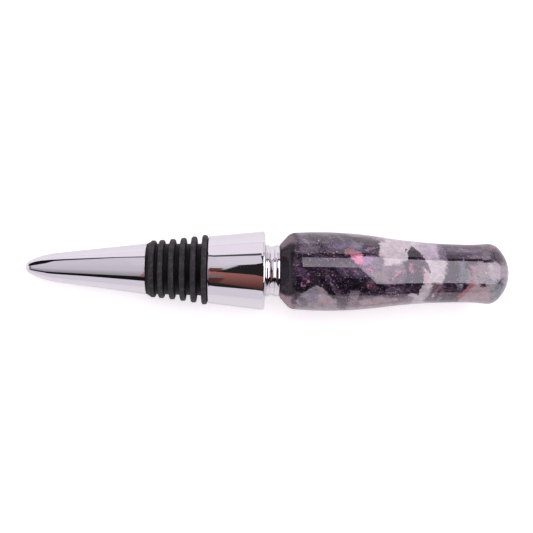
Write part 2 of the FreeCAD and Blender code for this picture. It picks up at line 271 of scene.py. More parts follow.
def newGroup(name, inputs, outputs):
    # inputs and outputs are (name, kind) or (name, kind, value)
    tree = bpy.data.node_groups.new(name, "ShaderNodeTree")
    for inOut, items in (("INPUT", inputs), ("OUTPUT", outputs)):
        for item in items:
            socket = tree.interface.new_socket(item[0], in_out=inOut, socket_type="NodeSocket" + item[1])
            if len(item) == 3:
                socket.default_value = item[2]
    entry = tree.nodes.new("NodeGroupInput")
    leave = tree.nodes.new("NodeGroupOutput")
    return tree, entry.outputs, leave.inputs


def stopperCoords(tree):
    # coordinates that run along the stopper's axis, in metres from the cone's tip
    place, turn, _ = lay.inverted().decompose()
    coords = put(tree, "TexCoord").outputs["Object"]
    return put(tree, "Mapping", {
        "Vector": coords, "Location": place, "Rotation": turn.to_euler()}).outputs[0]


def emptyMaterial(name):
    material = bpy.data.materials.new(name)
    material.use_nodes = True
    material.node_tree.nodes.clear()
    return material, material.node_tree


def newMaterial(name, look):
    # look is its colour in Blender's plain viewport
    material, tree = emptyMaterial(name)
    material.diffuse_color = look
    shader = put(tree, "BsdfPrincipled")
    put(tree, "OutputMaterial", {"Surface": shader.outputs[0]})
    return material, tree, shader.inputs


# Shared surface effects.

def makeEdgeWear():
    # convex edges, broken up by noise
    tree, entry, leave = newGroup("edgeWear", [
        ("Coordinates", "Vector"), ("Scale", "Float", 900.0), ("Reach", "Float", 0.02),
        ("Strength", "Float", 1.0)], [("Mask", "Float")])
    raised = maths(tree, "SUBTRACT", put(tree, "NewGeometry").outputs["Pointiness"], 0.5)
    edge = maths(tree, "DIVIDE", raised, entry["Reach"], clamp=True)
    broken = noise(tree, entry["Coordinates"], entry["Scale"], detail=4.0, roughness=0.6)
    worn = maths(tree, "MULTIPLY", edge, broken["Fac"])
    feed(tree, leave["Mask"], maths(tree, "MULTIPLY", worn, entry["Strength"], clamp=True))
    return tree


def makeGrain():
    # two sizes of unevenness, blended
    tree, entry, leave = newGroup("surfaceGrain", [
        ("Coordinates", "Vector"), ("Coarse", "Float", 200.0), ("Fine", "Float", 2500.0),
        ("Share", "Float", 0.5)], [("Value", "Float")])
    coarse = noise(tree, entry["Coordinates"], entry["Coarse"], detail=3.0, roughness=0.55)
    fine = noise(tree, entry["Coordinates"], entry["Fine"], detail=2.0, roughness=0.6)
    blend = put(tree, "Mix", {0: entry["Share"], 2: coarse["Fac"], 3: fine["Fac"]}, data_type="FLOAT")
    feed(tree, leave["Value"], blend.outputs[0])
    return tree


edgeWear = makeEdgeWear()
surfaceGrain = makeGrain()


# Cone, collar and neck: polished plating.

casting = {
    "outline": {  # station, radius and, for an arc, its bend
        "tip": (0, 0),
        "tipRound": (1.15, 1.873, 2.1),
        "nose": (9.0, 4.25, 23.505),
        "coneEnd": (shoulder, 7.35),
        "seatStart": (shoulder, seatRadius),
        "seatEnd": (collarFace, seatRadius),
        "collarFront": (collarFace, 9.306),
        "frontRound": (52.912, 9.654, 0.35),
        "collarRim": (68.14, 11.314),
        "rimRound": (68.75, 10.767, 0.55),
        "neckStart": (68.75, 7.1),
        "lowerBead": (70.15, 7.1, 0.967),
        "coveStep": (70.15, 6.87),
        "cove": (71.4, 7.1, -3.512),
        "upperBead": (neckEnd, 7.1, 1.576),
        "holeMouth": (neckEnd, holeMouth),
        "holeBevel": (72.75, holeRadius),
        "holeEnd": (60.25, holeRadius),
        "drillPoint": (57.37, 0),
    },
    "softness": 0.06,
    "tint": (0.77, 0.765, 0.785, 1),
    "dullness": 0.86,  # how bright the duller patches are
    "dullShare": 0.25,
    "gloss": 0.02,
    "smears": 0.025,
    "smearSlope": (0.45, 0.75),  # grain values between which a smear grows
    "edgeDulling": 0.12,
    "waviness": 0.015,
}


def makeChrome():
    material, tree, surface = newMaterial("polishedChrome", (0.78, 0.77, 0.79, 1))
    coords = stopperCoords(tree)
    grain = use(tree, surfaceGrain, {"Coordinates": coords, "Coarse": 110.0, "Fine": 5200.0, "Share": 0.3})
    worn = use(tree, edgeWear, {"Coordinates": coords, "Scale": 1500.0, "Reach": 0.04, "Strength": 0.5})
    gloss, smears = casting["gloss"], casting["smears"]
    smeared = ramp(tree, grain["Value"], *casting["smearSlope"], gloss, gloss + smears)
    dulling = times(tree, worn["Mask"], casting["edgeDulling"])
    feed(tree, surface["Roughness"], maths(tree, "ADD", smeared, dulling))
    dull = (*(value * casting["dullness"] for value in casting["tint"][:3]), 1)
    share = times(tree, grain["Value"], casting["dullShare"])
    feed(tree, surface["Base Color"], mixColour(tree, share, casting["tint"], dull))
    wavy = noise(tree, coords, scale=95.0, detail=1.0)
    bump = put(tree, "Bump", {"Height": wavy["Fac"], "Strength": casting["waviness"], "Distance": 0.0004})
    feed(tree, surface["Normal"], bump.outputs[0])
    feed(tree, surface["Metallic"], 1.0)
    return material


def makeCasting():
    places = outline(casting["outline"].values())
    turned("chromeCasting", places, makeChrome(), "stopper_core", casting["softness"])


makeCasting()
print("casting done")


# Ribbed sleeve: matte moulded rubber.

rubber = {
    "ribs": 6,
    "crests": (8.2, 10.0),  # radius of the first and the last rib
    "growth": 1.4,  # power of the crests' growth
    "secondRib": 39.28,
    "pitch": 3.08,
    "land": 1.5,  # width of a crest
    "leadIn": 1.05,  # bevel in front of the first rib
    "firstValley": 1.0,
    "bevel": 0.3,
    "lean": 0.2,
    "wall": (7.25, 7.5),  # radius between the ribs, front and rear
    "room": 0.02,  # between the bore and its seat
    "frontRoom": (0.01, 0.0),  # from the shoulder, at the bore and at the rim
    "rearRoom": (0.01, 0.03),  # the same from the collar
    "softness": 0.11,
    "colour": (0.012, 0.0105, 0.0135, 1),
    "dusty": (0.100, 0.084, 0.102, 1),
    "dustShare": 0.7,
    "dustSlope": (0.46, 0.62),  # grain values between which the dust grows
    # painted shade: the dark colour the rubber takes between the ribs
    "paintedValleyShade": (0.003, 0.0025, 0.003, 1),
    "valleyShadeRadii": (8.3, 7.6),  # radii between which the rubber turns to its painted valley shade
    "shine": 0.18,
    "roughness": (0.42, 0.62),
}


def makeRubber():
    material, tree, surface = newMaterial("mattRubber", (0.045, 0.04, 0.043, 1))
    coords = stopperCoords(tree)
    grain = use(tree, surfaceGrain, {"Coordinates": coords, "Coarse": 850.0, "Fine": 3200.0, "Share": 0.6})
    worn = use(tree, edgeWear, {"Coordinates": coords, "Scale": 1200.0, "Reach": 0.05, "Strength": 0.9})
    dust = times(tree, ramp(tree, grain["Value"], *rubber["dustSlope"]), rubber["dustShare"])
    share = maths(tree, "MAXIMUM", dust, worn["Mask"], clamp=True)
    tone = mixColour(tree, share, rubber["colour"], rubber["dusty"])
    parts = axisParts(tree, coords)
    squares = [maths(tree, "POWER", parts[axis], 2.0) for axis in "YZ"]
    radius = maths(tree, "SQRT", maths(tree, "ADD", *squares))
    # painted shade: the rubber darkens towards the small radii between the ribs, where shade falls
    top, foot = rubber["valleyShadeRadii"]
    valleyShadeShare = ramp(tree, radius, top * mm, foot * mm)
    feed(tree, surface["Base Color"], mixColour(tree, valleyShadeShare, tone, rubber["paintedValleyShade"]))
    feed(tree, surface["Roughness"], ramp(tree, grain["Value"], 0.0, 1.0, *rubber["roughness"]))
    feed(tree, surface["Specular IOR Level"], rubber["shine"])
    bump = put(tree, "Bump", {"Height": grain["Value"], "Strength": 0.35, "Distance": 0.00006})
    feed(tree, surface["Normal"], bump.outputs[0])
    return material


def crestRadius(index):
    first, last = rubber["crests"]
    return first + (last - first) * (index / (rubber["ribs"] - 1)) ** rubber["growth"]


def crestSpan(index):
    # the stations where a rib's crest starts and ends
    half = rubber["land"] / 2
    if index == 0:
        return shoulder + rubber["leadIn"], rubber["secondRib"] - half - rubber["firstValley"]
    middle = rubber["secondRib"] + rubber["pitch"] * (index - 1)
    return middle - half, middle + half


def makeSleeve():
    bevel, lean = rubber["bevel"], rubber["lean"]
    bore = seatRadius + rubber["room"]
    frontWall, rearWall = rubber["wall"]
    atBore, atRim = rubber["frontRoom"]
    corners = [(shoulder + atBore, bore), (shoulder + atRim, frontWall)]
    for index in range(rubber["ribs"]):
        start, end = crestSpan(index)
        crest = crestRadius(index)
        wall = frontWall + (rearWall - frontWall) * (start - shoulder) / (collarFace - shoulder)
        if index > 0:
            corners.append((start - lean, wall))
        corners += [(start, crest - bevel), (start + bevel, crest)]
        corners += [(end - bevel, crest), (end, crest - bevel)]
        if index < rubber["ribs"] - 1:
            corners.append((end + lean, wall))
    atBore, atRim = rubber["rearRoom"]
    corners += [(collarFace - atRim, rearWall), (collarFace - atBore, bore)]
    turned(
        "rubberSleeve", outline(corners), makeRubber(), "ribbed_sleeve",
        rubber["softness"], closed=True)


makeSleeve()
print("sleeve done")


# Handle: swirled resin, polished.

resin = {
    "outline": {  # station, radius and, for an arc, its bend
        "drillPoint": (90.14, 0),
        "holeEnd": (87.25, holeRadius),
        "holeBevel": (73.75, holeRadius),
        "holeMouth": (neckEnd, holeMouth),
        "face": (neckEnd, 7.7),
        "slope": (75.281, 9.956),
        "shoulderRound": (77.507, 11.04, 3.3),
        "crown": (102.748, 10.08, 118.52),
        "waist": (126.75, 8.34, -166.39),
        "flare": (132.42, 8.669, -49.0),
        "endRound": (135.364, 7.683, 3.65),
        "dome": (138.65, 0, 10.625),
    },
    "step": 0.7,
    "softness": 0.05,
    "coatIor": 1.82,
    "coatRoughness": 0.02,
    "baseRoughness": 0.4,
    "facePolish": 0.26,  # how far the face by the neck is polished
    "polishGrows": (76.8, 78.6),  # stations between which the polish grows to full
    "swirlGrows": (75.8, 78.2),  # the same for veins and glitter
    "faceSwirl": 0.12,
    "girthRadius": 10.0,  # in mm; the way round is measured on it
    "warp": 2.4,  # how far the swirls wander, in mm
    "jitter": 0.32,  # the share of that which is fine
    "backWarp": 2,  # how many times as far on the back
    "veins": [  # lean in radians, scale, share and tone
        (0.30, 1.2, 0.6, "greyPink"), (0.42, 2.2, 0.9, "dark"),
        (-0.4, 1.7, 0.4, "mauve"), (0.2, 2.6, 0.45, "lilac")],
    "veinStretch": (0.22, 1.0, 1.0),  # draws the veins out along the handle
    "ragged": 0.7,  # how torn the swirls' edges are, in mm
    "unevenness": (0.3, 0.7, 0.62, 1.38),  # grain values, and how bright they leave the tone
    # Slopes of a share: the values where it is least and where it is full, then the least share.
    "veils": (0.5, 0.75, 0.0, 0.25),  # by the clouds; the last value is the full share
    "drifts": (0.40, 0.62, 0.25),  # by the clouds
    "lightVeins": (0.5, 0.15, 0.12),  # this and the next three by a tone's brightness
    "darkVeins": (0.012, 0.05, 0.2),
    "lightGlitter": (0.5, 0.1, 0.5),
    "blackGlitter": (0.004, 0.011, 0.2),
    "veinEdge": (0.50, 0.68),  # by the veins' noise
    "flakeEdge": (0.6, 0.3),  # by the distance from a flake's middle
    "dustSize": 0.28,
    "dustShare": 0.4,
    "dustGlow": 0.8,
    "fleckSize": 0.44,
    "fleckShare": 0.12,
    "fleckGlow": 0.95,
    "fleckTints": [
        (0.0, (0.75, 0.14, 0.42, 1)), (0.3, (0.38, 0.20, 0.72, 1)), (0.6, (0.74, 0.66, 0.78, 1)),
        (0.8, (0.72, 0.20, 0.24, 1)), (1.0, (0.45, 0.78, 0.85, 1))],
    "wrap": 250,  # degrees further round for a corner one radius outside the handle's outline
    "farthestRound": 150,
    "domeRadius": 7.6,  # the dome's corners are taken round this radius
    "sightings": 20,  # rounds in which a corner's height above the axis settles
}

resinTones = {
    "black": (0.004, 0.003, 0.005, 1),
    "dark": (0.012, 0.008, 0.014, 1),
    "mauve": (0.115, 0.075, 0.130, 1),
    "dusk": (0.040, 0.026, 0.036, 1),
    "pale": (0.61, 0.51, 0.575, 1),
    "lilacPearl": (0.40, 0.31, 0.46, 1),
    "greyPearl": (0.31, 0.25, 0.29, 1),
    "greyPink": (0.25, 0.175, 0.205, 1),
    "pinkPearl": (0.44, 0.32, 0.35, 1),
    "warmPearl": (0.28, 0.22, 0.215, 1),
    "blueGrey": (0.13, 0.14, 0.20, 1),
    "violet": (0.090, 0.062, 0.170, 1),
    "purple": (0.060, 0.026, 0.072, 1),
    "lilac": (0.36, 0.20, 0.42, 1),
    "pink": (0.62, 0.18, 0.33, 1),
    "salmon": (0.40, 0.14, 0.16, 1),
    "wine": (0.090, 0.022, 0.030, 1),
    "teal": (0.20, 0.30, 0.32, 1),
}

# Shards of colour laid over one another: tone, share, softness in mm and the corners of a convex
# outline, each given as a column and row of the photograph's pixels.
paleShards = [
    ("pale", 1, 0.25, (378, 220), (379, 258), (447, 262), (438, 220)),
    ("lilacPearl", 0.55, 1.2, (420, 220), (419, 262), (447, 262), (440, 220)),
    ("mauve", 0.85, 0.6, (437, 244), (448, 244), (448, 261), (438, 261)),
    ("pale", 0.9, 0.6, (381, 256), (384, 266), (402, 266), (410, 256)),
    ("pale", 0.85, 0.3, (424, 260), (449, 260), (443, 282), (438, 289), (423, 288)),
    ("pale", 0.9, 0.4, (422, 286), (442, 286), (430, 312), (396, 312), (408, 296)),
]
greyShards = [
    ("greyPink", 0.9, 0.6, (350, 297), (398, 296), (412, 297), (412, 316), (342, 316)),
    ("pinkPearl", 0.7, 0.8, (288, 304), (404, 302), (404, 318), (288, 318)),
    ("dusk", 0.95, 0.5, (336, 293), (372, 293), (352, 301), (338, 301)),
    ("greyPearl", 1, 0.3, (297, 297), (310, 289), (317, 285), (336, 299), (338, 318), (288, 318)),
    ("blueGrey", 0.5, 1, (304, 291), (317, 290), (317, 303), (305, 303)),
    ("mauve", 0.85, 0.4, (360, 257), (382, 257), (386, 273), (368, 273)),
    ("warmPearl", 0.8, 0.4, (366, 272), (384, 272), (390, 281), (376, 281)),
    ("greyPink", 0.8, 0.5, (383, 267), (405, 266), (405, 284), (384, 284)),
    ("greyPearl", 0.8, 0.4, (336, 226), (388, 232), (386, 243), (364, 239), (342, 234)),
    ("blueGrey", 0.35, 0.5, (351, 241), (365, 242), (362, 251), (349, 249)),
    ("violet", 0.7, 0.5, (331, 242.5), (350, 242), (348, 248), (334, 247.5)),
    ("violet", 0.5, 0.5, (303, 239), (314, 242), (312, 247), (304, 244)),
    ("greyPearl", 0.35, 0.5, (362, 258), (384, 257), (385, 268), (372, 270)),
    ("greyPearl", 0.8, 0.6, (472, 266), (508, 265), (508, 287), (472, 286)),
    ("pinkPearl", 1, 0.4, (472, 283), (512, 283), (512, 316), (456, 316), (461, 298)),
    ("pale", 0.35, 1, (488, 263), (504, 263), (508, 277), (489, 279)),
]
darkShards = [
    ("dark", 1, 0.12, (410.5, 246.5), (418, 250), (425.5, 260), (407.5, 260)),
    ("dark", 1, 0.1, (405.6, 249.3), (407.4, 248.8), (407.2, 251.2), (405.8, 251)),
    ("dark", 0.93, 0.15, (407.5, 259), (425, 258.5), (431, 273), (425, 285), (405.5, 285)),
    ("pale", 0.8, 0.15, (424, 268), (432, 273.5), (430, 284), (423, 284)),
    ("dark", 1, 0.2, (409, 282), (423, 283), (418, 295), (410, 293)),
    ("black", 0.95, 0.25, (368, 283), (404, 283.5), (400, 287.5), (384, 289.5)),
    ("dusk", 0.95, 0.6, (386, 288), (412, 287), (404, 298), (384, 301)),
    ("dark", 0.65, 0.5, (388, 275), (408, 274), (408, 284), (391, 284)),
    ("mauve", 0.5, 0.4, (385, 287), (404, 286), (402, 291), (387, 292)),
    ("black", 0.95, 0.5, (332, 277), (352, 277), (370, 284), (368, 293), (342, 293)),
    ("dark", 0.95, 0.3, (436, 236), (508, 236), (508, 262), (447, 262)),
    ("dark", 0.9, 0.4, (445, 260), (470, 260), (464, 291), (443, 291)),
    ("dusk", 0.9, 0.35, (437, 289.5), (470, 289.5), (458, 300), (430, 305)),
    ("dark", 0.9, 0.2, (352, 237), (366, 237), (381, 241), (380.5, 243.2), (364, 241.5)),
    ("dark", 0.9, 0.15, (365, 251.5), (370, 245.5), (377, 244.5), (377.5, 253)),
    ("black", 1, 0.12, (320, 278), (327, 277), (333.5, 290), (335, 299), (330, 298), (324, 288)),
    ("black", 1, 0.25, (296, 283), (311, 285), (309, 291), (300, 292.5)),
    ("black", 1, 0.25, (297, 274), (302, 278), (303, 289), (296, 289)),
    ("dusk", 0.6, 0.4, (336, 292), (341, 292), (347, 309), (341, 310)),
]
brightStreaks = [
    ("purple", 0.6, 0.4, (293.5, 260), (299, 262), (309, 278), (303, 281), (296, 274)),
    ("purple", 0.6, 0.3, (325, 277), (329, 275), (336, 290), (332, 292)),
    ("mauve", 0.45, 0.8, (334, 266), (354, 266), (361, 274), (342, 275)),
    ("salmon", 0.85, 0.3, (343.5, 250), (351, 249), (363, 254.5), (357, 257.5), (345, 255)),
    ("pink", 1, 0.15, (349, 256.5), (361, 254.5), (366, 262), (372, 272), (362, 268.5), (354, 262)),
    ("lilac", 0.8, 0.3, (362, 257), (373.5, 257), (372, 268), (366, 271)),
    ("wine", 0.8, 0.3, (366, 282), (372, 279.5), (377, 287), (368, 289)),
    ("pink", 1, 0.08, (392.5, 277.8), (399.5, 270.6), (401.6, 271), (394, 278.6)),
    ("pink", 0.6, 0.25, (409.8, 264), (413, 264), (414, 273), (411, 274)),
    ("salmon", 0.9, 0.15, (471.5, 282.5), (475, 285.5), (460.5, 299), (457.5, 297)),
    ("salmon", 0.45, 0.3, (345, 302), (353, 297), (355.5, 299), (347, 304)),
    ("salmon", 0.4, 0.3, (379, 301), (388, 296), (389.5, 298.5), (382, 303)),
    ("salmon", 0.45, 0.3, (471, 265), (474.5, 265), (475.5, 284), (471.5, 284)),
    ("teal", 0.35, 0.4, (459, 261), (465, 261), (466.5, 282), (460, 282)),
    ("teal", 0.3, 0.6, (488, 278), (501, 279), (503, 294), (490, 304)),
    ("violet", 0.9, 0.12, (463, 251.4), (466.6, 250.6), (467.4, 252.6), (463.6, 253.2)),
    ("violet", 0.9, 0.12, (472, 253), (477, 253.6), (477, 255.4), (472, 255)),
    ("violet", 0.9, 0.12, (486.8, 256), (490.4, 256.4), (491, 258.6), (487.4, 258.6)),
    ("salmon", 0.7, 0.25, (489, 244.6), (495, 246.5), (494.5, 249), (489, 248)),
    ("dark", 1, 0.15, (496.8, 278.5), (500, 279.3), (503, 287), (500, 289)),
    ("dark", 0.65, 0.35, (479.5, 281.5), (486, 282.5), (485, 286.5), (481, 286.5)),
    ("salmon", 0.7, 0.15, (303, 284.5), (306.5, 285.5), (306, 288), (303, 287)),
    ("pink", 0.7, 0.15, (308, 280.5), (311, 281.6), (310.5, 284), (307.8, 283)),
]
leftStreaks = [
    ("pinkPearl", 0.5, 0.3, (285, 296.5), (301, 301), (300, 303.5), (287, 300)),
    ("dark", 0.8, 0.25, (295, 297), (303, 296), (306, 300), (297, 301.5)),
    ("pinkPearl", 0.6, 0.6, (318, 288), (331, 298), (335, 305), (318, 304)),
    ("dusk", 0.9, 0.3, (335, 292), (341, 291), (348, 309), (342, 311)),
    ("greyPearl", 0.7, 0.4, (351, 292), (360, 291), (356, 301), (349, 302)),
    ("dusk", 0.45, 0.3, (364, 293), (404, 290), (404, 294), (370, 298)),
    ("pinkPearl", 0.75, 0.35, (358, 300.5), (398, 297), (398, 300.5), (362, 305)),
    ("greyPink", 0.3, 0.35, (300, 235), (304, 233.5), (316, 245), (312, 247)),
    ("greyPink", 0.35, 0.35, (319, 230), (324, 230), (333, 240), (328, 241)),
    ("salmon", 0.35, 0.3, (318, 232), (325, 234.5), (326, 236.5), (319, 235)),
    ("blueGrey", 0.4, 0.5, (322, 240), (328, 238), (330, 246), (323, 247)),
    # painted shade: darkens the upper left rim, in place of a dimmer reflection there
    ("dark", 0.75, 0.6, (293, 236), (336, 238), (336, 242.5), (293, 242)),
    ("mauve", 0.3, 0.5, (295, 233), (300, 232), (308, 252), (302, 253)),
    ("pinkPearl", 0.4, 0.2, (303, 240), (306, 239.5), (312, 246), (310, 247)),
    ("dark", 0.6, 0.3, (309, 235), (318, 234), (330, 241), (322, 242)),
    ("dark", 0.5, 0.4, (326, 235), (340, 237), (352, 243), (338, 243)),
    ("violet", 0.7, 0.25, (336, 243), (346, 243.5), (346, 246), (337, 246)),
    ("greyPink", 0.45, 0.2, (330, 233), (334, 233), (346, 241), (343, 241.5)),
    ("salmon", 0.35, 0.3, (284, 299), (292, 302), (300, 306), (290, 305)),
    ("salmon", 0.3, 0.3, (316, 303), (330, 300), (331, 303), (318, 306)),
    ("salmon", 0.3, 0.3, (362, 305), (376, 301), (377, 303.5), (364, 307)),
    ("lilac", 0.45, 0.2, (302, 238.5), (309, 241), (308, 243.5), (303, 241.5)),
    ("lilac", 0.7, 0.2, (365.5, 250), (373, 246.5), (374.5, 248.5), (367, 251.5)),
    ("lilacPearl", 0.35, 0.4, (351, 241), (363, 243), (361, 249), (350, 248)),
    ("purple", 0.8, 0.25, (341, 262), (372, 266), (373, 270), (345, 267)),
]
rightStreaks = [
    ("mauve", 0.35, 0.4, (437, 250), (500, 251), (502, 254.5), (440, 255)),
    ("greyPearl", 0.2, 0.3, (446, 247.5), (480, 249.5), (486, 252), (448, 250.5)),
    ("greyPink", 0.3, 0.4, (480, 245.5), (497, 247.5), (500, 252), (484, 250)),
    ("dusk", 0.8, 0.6, (432, 284), (446, 284), (433, 302), (424, 302)),
    ("warmPearl", 0.8, 0.3, (442, 290), (445, 290), (435, 303), (432, 303)),
    ("pale", 0.9, 0.12, (432.6, 295), (435.4, 294.6), (435.6, 297), (433, 297.4)),
    ("pinkPearl", 0.5, 0.3, (466, 270), (470.5, 270), (471.5, 284), (467, 284)),
    ("warmPearl", 0.9, 0.4, (474, 271), (492, 270), (492, 279), (475, 278)),
    ("pale", 0.4, 0.4, (488.5, 264), (494, 264), (495, 279), (490, 279)),
    ("greyPink", 0.8, 0.4, (478, 262), (487, 262), (487, 271), (479, 271)),
    # painted reflection: a pink rim along the dome at the handle's end
    ("pinkPearl", 0.8, 0.5, (503, 250), (507, 250), (507, 294), (503, 294)),
    ("pink", 0.4, 0.4, (421, 268), (428, 276), (428, 283), (424, 283)),
    ("blueGrey", 0.65, 0.5, (494, 279), (503, 279), (503, 294), (495, 300)),
    ("greyPink", 0.5, 0.5, (472, 251), (490, 253), (490, 259), (472, 258)),
    ("dusk", 0.85, 0.5, (443, 288), (454, 288), (452, 297), (440, 297)),
    ("greyPearl", 0.7, 0.5, (280, 295), (298, 299), (298, 316), (280, 316)),
    ("dark", 0.8, 0.25, (284, 297), (294, 300), (299, 305), (290, 303)),
    # painted reflection: a pale haze across the top of the chamfer by the neck
    ("greyPink", 0.9, 1, (278, 226), (295, 226), (294, 242.5), (279, 249.5)),
    ("warmPearl", 0.05, 0.5, (278, 251), (290, 251), (292, 291), (278, 291)),
    ("blueGrey", 0.06, 1.2, (278, 262), (291, 262), (293, 284), (278, 284)),
    ("pinkPearl", 0.85, 0.8, (278, 294), (292, 296), (297, 316), (278, 316)),
    ("dusk", 0.75, 0.5, (298, 300), (306, 301), (308, 306), (299, 307)),
    # painted reflection: a light streak and a dark band along the edge of the reflected panel line
    ("pinkPearl", 0.2, 0.3, (468, 256), (489, 255.5), (489, 259), (468, 259)),
    ("dark", 0.5, 0.3, (473, 252.5), (483, 253), (483, 255.5), (473, 255.2)),
    ("dark", 1, 0.15, (496.5, 279), (499.5, 279.5), (502, 286.5), (499.5, 288)),
    ("dark", 0.8, 0.25, (481, 283), (485, 283.5), (487.5, 286), (483, 287)),
    ("teal", 0.35, 0.4, (489, 287), (499, 284), (500, 294), (489, 301)),
    ("violet", 0.8, 0.15, (471, 252.5), (476, 253), (481, 256), (479, 256.5), (474, 254.5)),
    ("lilac", 0.4, 0.2, (455, 247), (470, 251), (473, 253.5), (460, 250)),
    ("salmon", 0.6, 0.2, (434, 292), (440, 286.5), (441.5, 288), (436, 294)),
    ("teal", 0.5, 0.3, (456, 284), (463, 284), (462, 288.5), (457, 288.5)),
    ("mauve", 0.6, 0.4, (353, 268), (366, 268), (371, 277), (357, 277)),
    ("mauve", 0.3, 0.5, (382, 276), (397, 276), (397, 284), (382, 284)),
    ("greyPearl", 0.25, 0.5, (300, 246), (318, 246), (318, 252), (300, 252)),
]
frontShards = paleShards + greyShards + darkShards + brightStreaks + leftStreaks + rightStreaks

# The shards on the underside: stations and girths in mm, the girth from straight below.
backShards = [
    ("pale", 0.9, 0.4, (98, -9), (112, -13), (124, 1), (113, 5), (101, 0)),
    ("greyPearl", 0.8, 0.5, (80, 2), (96, -4), (104, 6), (92, 12), (82, 11)),
    ("lilacPearl", 0.7, 0.5, (123, -12), (133, -11), (136, -2), (126, 2)),
    ("pinkPearl", 0.8, 0.4, (112, 6), (128, 4), (134, 11), (118, 13)),
    ("dark", 1, 0.2, (104, -8), (112, -4), (122, 6), (108, 2)),
    ("dusk", 0.8, 0.4, (84, -11), (94, -12), (99, -5), (88, -3)),
    ("purple", 0.8, 0.3, (78, -6), (84, -4), (90, 6), (86, 7)),
    ("salmon", 0.8, 0.2, (94, 3), (97, 2), (103, 9), (101, 10)),
    ("pink", 0.9, 0.12, (117, -7), (119, -7), (123, -1), (122, 0)),
    ("teal", 0.5, 0.4, (129, 3), (132, 2), (134, 9), (131, 11)),
]

handleSection = outline(resin["outline"].values(), resin["step"])


def handleRadius(station):
    # the outer radius there; the tapped hole's wall is the smaller one
    station = min(max(station, neckEnd), handleSection[-1].x)
    radii = []
    for start, end in zip(handleSection, handleSection[1:]):
        if start.x != end.x and min(start.x, end.x) <= station <= max(start.x, end.x):
            radii.append(start.y + (end.y - start.y) * (station - start.x) / (end.x - start.x))
    return max(radii)


def seenPlace(column, row):
    # the station and girth in mm of what the camera sees of the handle at a pixel of the photograph
    roll = math.radians(view["roll"])
    height = 0.0
    for _ in range(resin["sightings"]):
        reach = (view["distance"] - height) / view["focalPixels"]
        right = (column - view["footPixel"]) * reach
        up = (view["imagePixels"] / 2 - row) * reach
        station = view["station"] + right * math.cos(roll) - up * math.sin(roll)
        side = view["sideways"] + right * math.sin(roll) + up * math.cos(roll)
        radius = handleRadius(station)
        height = (height + math.sqrt(max(radius ** 2 - side ** 2, 0))) / 2
    lean = side / max(radius, resin["domeRadius"])
    if abs(lean) <= 1:
        turn = math.asin(lean)
    else:
        past = 90 + (abs(lean) - 1) * resin["wrap"]
        turn = math.copysign(math.radians(min(past, resin["farthestRound"])), lean)
    return station, turn * resin["girthRadius"]


farInside = -100.0  # mm, further than any shard reaches


def makeSideTest():
    # how far a point lies outside the side so far, or outside the one given here
    tree, entry, leave = newGroup("shardSide", [
        ("Place", "Vector"), ("Side", "Vector"), ("So Far", "Float", farInside)], [("Distance", "Float")])
    reach = vectorMaths(tree, "DOT_PRODUCT", entry["Place"], entry["Side"])["Value"]
    feed(tree, leave["Distance"], maths(tree, "MAXIMUM", reach, entry["So Far"]))
    return tree


def makeSwirlPlace():
    # station and girth in mm, carried off course by noise; Flip 1 starts from straight below
    tree, entry, leave = newGroup("swirlPlace", [
        ("Coordinates", "Vector"), ("Flip", "Float", 0.0), ("Warp", "Float", 1.0)], [("Place", "Vector")])
    parts = axisParts(tree, entry["Coordinates"])
    flip = maths(tree, "SUBTRACT", 1.0, times(tree, entry["Flip"], 2.0))
    turn = maths(tree, "ARCTAN2", times(tree, parts["Y"], flip), times(tree, parts["Z"], flip))
    middle = (0.5, 0.5, 0.5)
    broad = noise(tree, entry["Coordinates"], scale=320.0, detail=2.0)["Color"]
    fine = noise(tree, entry["Coordinates"], scale=1500.0, detail=2.0, roughness=0.6)["Color"]
    drift = vectorMaths(tree, "SUBTRACT", broad, middle)["Vector"]
    jitter = vectorMaths(tree, "SUBTRACT", fine, middle)["Vector"]
    jitter = vectorMaths(tree, "SCALE", jitter, resin["jitter"])["Vector"]
    both = vectorMaths(tree, "ADD", drift, jitter)["Vector"]
    push = axisParts(tree, vectorMaths(tree, "SCALE", both, entry["Warp"])["Vector"])
    station = maths(tree, "ADD", times(tree, parts["X"], 1 / mm), push["X"])
    girth = maths(tree, "ADD", times(tree, turn, resin["girthRadius"]), push["Y"])
    place = put(tree, "CombineXYZ", {"X": station, "Y": girth, "Z": 1.0})
    feed(tree, leave["Place"], place.outputs[0])
    return tree


def makeFlecks():
    # small glitter flakes: a share of the cells of a Voronoi pattern, each with its own tint
    tree, entry, leave = newGroup("glitterFlecks", [
        ("Coordinates", "Vector"), ("Size", "Float", 0.3), ("Share", "Float", 0.1)],
        [("Mask", "Float"), ("Tint", "Color")])
    scale = maths(tree, "DIVIDE", 1 / mm, entry["Size"])
    cells = put(tree, "TexVoronoi", {"Vector": entry["Coordinates"], "Scale": scale}).outputs
    parts = put(tree, "SeparateColor", {"Color": cells["Color"]}).outputs
    chosen = maths(tree, "SUBTRACT", 1.0, maths(tree, "DIVIDE", parts["Red"], entry["Share"]), clamp=True)
    near = ramp(tree, cells["Distance"], *resin["flakeEdge"])
    tint = put(tree, "ValToRGB", {"Fac": parts["Green"]})
    stops = tint.color_ramp.elements
    first, *others, last = resin["fleckTints"]
    stops[0].color, stops[1].color = first[1], last[1]
    for position, colour in others:
        stops.new(position).color = colour
    feed(tree, leave["Mask"], times(tree, chosen, near))
    feed(tree, leave["Tint"], tint.outputs["Color"])
    return tree


